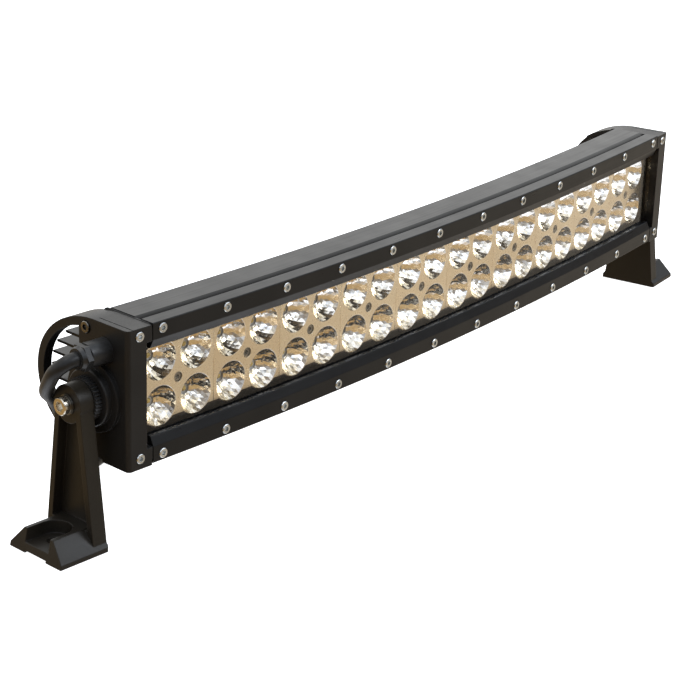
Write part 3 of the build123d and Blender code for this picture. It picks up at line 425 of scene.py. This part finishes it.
def plate_mesh():
    """A flat plate with holes for the cups and the screw, its edges slightly rounded."""
    curve = bpy.data.curves.new("face_plate", "CURVE")
    curve.dimensions = "2D"
    curve.fill_mode = "BOTH"
    half = CUP_PITCH / 2
    loops = [scalloped_outline()]
    for a in (-1, 1):
        for b in (-1, 1):
            loops.append(arc_points((a * half, b * half), CUP_RADIUS + HOLE_GAP, 2 * math.pi, 0, 64)[:-1])
    loops.append(arc_points((0, 0), SCREW_RECESS, 2 * math.pi, 0, 32)[:-1])
    for loop in loops:
        spline = curve.splines.new("POLY")
        spline.points.add(len(loop) - 1)
        for point, (x, y) in zip(spline.points, loop):
            point.co = (x, y, 0, 1)
        spline.use_cyclic_u = True
    curve.extrude = PLATE_THICKNESS / 2 - PLATE_ROUNDING
    curve.bevel_depth = PLATE_ROUNDING
    curve.bevel_resolution = 2
    curve.offset = -PLATE_ROUNDING
    holder = bpy.data.objects.new("face_plate", curve)
    bpy.context.scene.collection.objects.link(holder)
    mesh = bpy.data.meshes.new_from_object(holder.evaluated_get(bpy.context.evaluated_depsgraph_get()))
    bpy.data.objects.remove(holder)
    return mesh


def cup_rings():
    """Radius and height of each ring of a paraboloid cup, from the rim to the open floor."""
    rings = []
    for n in range(RINGS + 1):
        radius = CUP_RADIUS + (CUP_FLOOR - CUP_RADIUS) * n / RINGS
        drop = 1 - (radius**2 - CUP_FLOOR**2) / (CUP_RADIUS**2 - CUP_FLOOR**2)
        rings.append((radius, -CUP_DEPTH * drop))
    return rings


def add_cup(mesh, tint, centre, seed):
    """One faceted cup with its outer wall, in the module's frame."""
    jitter = random.Random(seed)
    inner = cup_rings()
    loops = [(CUP_RADIUS + CUP_WALL - HAIR, -HAIR), (CUP_RADIUS + RIM_WIDTH, 0.0), *inner]
    loops += [(radius + CUP_WALL, height) for radius, height in reversed(inner[1:])]
    rows = []
    for index, (radius, height) in enumerate(loops):
        half_step = 0.5 * (index % 2) if 2 <= index < 2 + RINGS else 0.0
        row = []
        for n in range(FLUTES):
            angle = 2 * math.pi * (n + half_step) / FLUTES
            wobble = jitter.uniform(-FACET_WOBBLE, FACET_WOBBLE) if 2 < index < 2 + RINGS else 0.0
            row.append(mesh.verts.new((
                centre[0] + (radius + wobble) * math.cos(angle),
                centre[1] + (radius + wobble) * math.sin(angle),
                height,
            )))
        rows.append(row)
    rows.append(rows[0])
    for index, (first, second) in enumerate(zip(rows, rows[1:])):
        for n in range(FLUTES):
            m = (n + 1) % FLUTES
            facets = [(first[n], second[n], second[m], first[m])]
            if 2 <= index < 2 + RINGS:
                if index % 2:
                    facets = [(first[n], second[m], first[m]), (first[n], second[n], second[m])]
                else:
                    facets = [(first[n], second[n], first[m]), (first[m], second[n], second[m])]
            for corners in facets:
                face = mesh.faces.new(corners)
                face.material_index = 1
                middle = face.calc_center_median()
                angle = math.atan2(middle.y - centre[1], middle.x - centre[0])
                # Painted reflection: facets towards the upper right take the cool chrome of a reflected
                # window, those towards the lower left the warm tone of a reflected tan room.
                painted_reflection = 0.45 - 0.6 * math.cos(angle - PAINTED_HIGHLIGHT_SIDE)
                face[tint] = painted_reflection + jitter.uniform(-TINT_SPREAD, TINT_SPREAD)
                face.smooth = index < 2 or index >= 2 + RINGS


def add_post(mesh, tint):
    """The screw's post: a recess for the head, and a sleeve behind it."""
    profile = [
        (POST_RADIUS, -PLATE_THICKNESS + 2 * HAIR),
        (POST_RADIUS, -POST_LENGTH),
        (POST_BORE, -POST_LENGTH),
        (POST_BORE, -SCREW_RECESS_DEPTH),
        (SCREW_RECESS, -SCREW_RECESS_DEPTH),
        (SCREW_RECESS, -HAIR),
    ]
    rows = []
    for radius, height in profile:
        circle = arc_points((0, 0), radius, 0, 2 * math.pi, 32)[:-1]
        rows.append([mesh.verts.new((x, y, height)) for x, y in circle])
    for face in ring_faces(mesh, rows):
        face[tint] = 1.0
        face.smooth = True


def ring_faces(mesh, rows):
    """Quads between each ring of vertices and the next."""
    faces = []
    for first, second in zip(rows, rows[1:]):
        for n in range(len(first)):
            m = (n + 1) % len(first)
            faces.append(mesh.faces.new((first[n], first[m], second[m], second[n])))
    return faces


def module_mesh(number, plate):
    """The face plate, its four cups and the screw's post, as one mesh."""
    mesh = bmesh.new()
    mesh.from_mesh(plate)
    tint = mesh.faces.layers.float.new("tint")
    bmesh.ops.translate(mesh, vec=(0, 0, -PLATE_THICKNESS / 2), verts=mesh.verts)
    shade = random.Random(number).uniform(0.2, 0.8)
    for face in mesh.faces:
        face[tint] = shade
    half = CUP_PITCH / 2
    places = [(a * half, b * half) for a in (-1, 1) for b in (-1, 1)]
    for n, place in enumerate(places):
        add_cup(mesh, tint, place, 10 * number + n)
    add_post(mesh, tint)
    data = bpy.data.meshes.new(f"reflector_module_{number:02d}")
    mesh.normal_update()
    mesh.to_mesh(data)
    mesh.free()
    data.materials.append(plate_chrome)
    data.materials.append(cup_chrome)
    return data


def make_modules():
    plate = plate_mesh()
    for number in range(1, MODULES + 1):
        arc = (number - (MODULES + 1) / 2) * MODULE_PITCH
        piece = bpy.data.objects.new(f"reflector_module_{number:02d}", module_mesh(number, plate))
        piece.data.transform(module_frame(arc, REFLECTOR_DEPTH))
        bpy.context.scene.collection.objects.link(piece)
        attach(piece, "light")
        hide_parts(f"reflector_{number:02d}")


make_modules()

# ---- LEDs --------------------------------------------------------------------------------------------
EMITTER_BACK = 0.0198
EMITTER_SIDE = 0.0034
EMITTER_BASE = 0.0006
EMITTER_DOME = 0.0012
DOME_RADIUS = EMITTER_SIDE / 2 - 0.0002
DOME_RINGS = 7
DOME_SIDES = 24


def add_led(mesh, place):
    """A white ceramic base under a yellow dome, standing forwards from this place."""
    lift = Matrix.Translation((0, 0, EMITTER_BASE / 2))
    block = Matrix.Diagonal((EMITTER_SIDE, EMITTER_SIDE, EMITTER_BASE, 1))
    bmesh.ops.create_cube(mesh, size=1, matrix=place @ lift @ block)
    rows = []
    for n in range(DOME_RINGS):
        angle = math.pi / 2 * n / DOME_RINGS
        ring = arc_points((0, 0), DOME_RADIUS * math.cos(angle), 0, 2 * math.pi, DOME_SIDES)[:-1]
        height = EMITTER_BASE + EMITTER_DOME * math.sin(angle)
        rows.append([mesh.verts.new(place @ Vector((x, y, height))) for x, y in ring])
    top = mesh.verts.new(place @ Vector((0, 0, EMITTER_BASE + EMITTER_DOME)))
    dome = ring_faces(mesh, rows)
    last = rows[-1]
    for n in range(DOME_SIDES):
        dome.append(mesh.faces.new((last[n], last[(n + 1) % DOME_SIDES], top)))
    for face in dome:
        face.material_index = 1
        face.smooth = True


def make_leds():
    mesh = bmesh.new()
    half = CUP_PITCH / 2
    for number in range(MODULES):
        arc = (number - (MODULES - 1) / 2) * MODULE_PITCH
        for a in (-1, 1):
            for b in (-1, 1):
                centre = Matrix.Translation((a * half, b * half, 0))
                add_led(mesh, module_frame(arc, EMITTER_BACK) @ centre)
    data = bpy.data.meshes.new("led_dies")
    mesh.normal_update()
    mesh.to_mesh(data)
    mesh.free()
    data.materials.append(ceramic)
    data.materials.append(phosphor)
    piece = bpy.data.objects.new("led_dies", data)
    bpy.context.scene.collection.objects.link(piece)
    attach(piece, "light")
    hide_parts("led_emitters")


make_leds()

# ---- Floor and light ---------------------------------------------------------------------------------


FLOOR_LEVEL = -0.0005
FLOOR_EDGES = (-1.2, 4.5, -0.42, 4.5)


def make_floor():
    """A white floor, bright enough to show no shadow and left out of what the lamp reflects."""
    mesh = bpy.data.meshes.new("floor")
    west, east, south, north = FLOOR_EDGES
    corners = [(west, south), (east, south), (east, north), (west, north)]
    mesh.from_pydata([(x, y, FLOOR_LEVEL) for x, y in corners], [], [(0, 1, 2, 3)])
    floor = bpy.data.objects.new("floor", mesh)
    bpy.context.scene.collection.objects.link(floor)
    n = Nodes("floor_white")
    n.set(Base_Color=(0.8, 0.8, 0.8, 1), Roughness=0.8)
    n.set(Emission_Color=(1, 1, 1, 1), Emission_Strength=1.0)
    mesh.materials.append(n.material)
    floor.visible_glossy = False
    floor.visible_diffuse = False


def make_area(name, place, target, size, power, colour=(1, 1, 1)):
    light = bpy.data.lights.new(name, "AREA")
    light.shape = "RECTANGLE"
    light.size, light.size_y = size
    light.energy = power
    light.color = colour
    lamp = bpy.data.objects.new(name, light)
    lamp.location = place
    lamp.rotation_euler = (Vector(place) - Vector(target)).to_track_quat("Z", "Y").to_euler()
    bpy.context.scene.collection.objects.link(lamp)


def make_world():
    """What the lamp reflects: a bright rear, a bluish window in front, a tan floor and a white table."""
    world = bpy.data.worlds.new("studio")
    world.use_nodes = True
    tree = world.node_tree
    new = tree.nodes.new
    link = tree.links.new
    split = new("ShaderNodeSeparateXYZ")
    link(new("ShaderNodeTexCoord").outputs["Generated"], split.inputs[0])

    def rise(value, low, high):
        """0 up to low, 1 from high on, and smooth between."""
        node = new("ShaderNodeMapRange")
        node.interpolation_type = "SMOOTHSTEP"
        link(value, node.inputs["Value"])
        node.inputs["From Min"].default_value = low
        node.inputs["From Max"].default_value = high
        return node.outputs[0]

    def mixed(factor, first, second):
        node = new("ShaderNodeMix")
        node.data_type = "RGBA"
        link(factor, node.inputs["Factor"])
        for socket, value in ((node.inputs[6], first), (node.inputs[7], second)):
            if isinstance(value, bpy.types.NodeSocket):
                link(value, socket)
            else:
                socket.default_value = (*value, 1)
        return node.outputs[2]

    speckle = new("ShaderNodeTexNoise")
    speckle.inputs["Scale"].default_value = 4.5
    speckle.inputs["Detail"].default_value = 4.0
    patches = rise(speckle.outputs["Fac"], 0.38, 0.62)
    rear = mixed(rise(split.outputs["Z"], 0.55, 0.9), (1.45, 1.45, 1.43), (0.6, 0.6, 0.61))
    window = mixed(patches, (0.25, 0.25, 0.26), (1.9, 2.1, 2.4))
    front = mixed(rise(split.outputs["Z"], 0.1, 0.4), (0.2, 0.17, 0.14), window)
    upper = mixed(rise(split.outputs["Y"], -0.1, 0.25), front, rear)
    wood = mixed(patches, (0.58, 0.5, 0.4), (0.9, 0.8, 0.66))
    dim = mixed(rise(split.outputs["X"], -0.2, 0.4), (0.5, 0.33, 0.14), wood)
    table = mixed(patches, (0.35, 0.36, 0.38), (2.2, 2.25, 2.35))
    lower = mixed(rise(split.outputs["Z"], -0.8, -0.55), table, dim)
    room = mixed(rise(split.outputs["Z"], -0.06, 0.06), lower, upper)
    background = tree.nodes["Background"]
    # Seen directly it is plain white, like the floor.
    seen = new("ShaderNodeLightPath").outputs["Is Camera Ray"]
    link(mixed(seen, room, (1, 1, 1)), background.inputs["Color"])
    bpy.context.scene.world = world


make_floor()
make_world()
LAMP_MIDDLE = (0, 0, 0.08)
make_area("window", (0.5, -1.6, 1.5), LAMP_MIDDLE, (1.4, 0.7), 14, (0.93, 0.96, 1.0))
make_area("overhead", (-0.3, 0.4, 1.8), LAMP_MIDDLE, (1.6, 0.9), 12)
bpy.context.scene.view_settings.view_transform = "Standard"
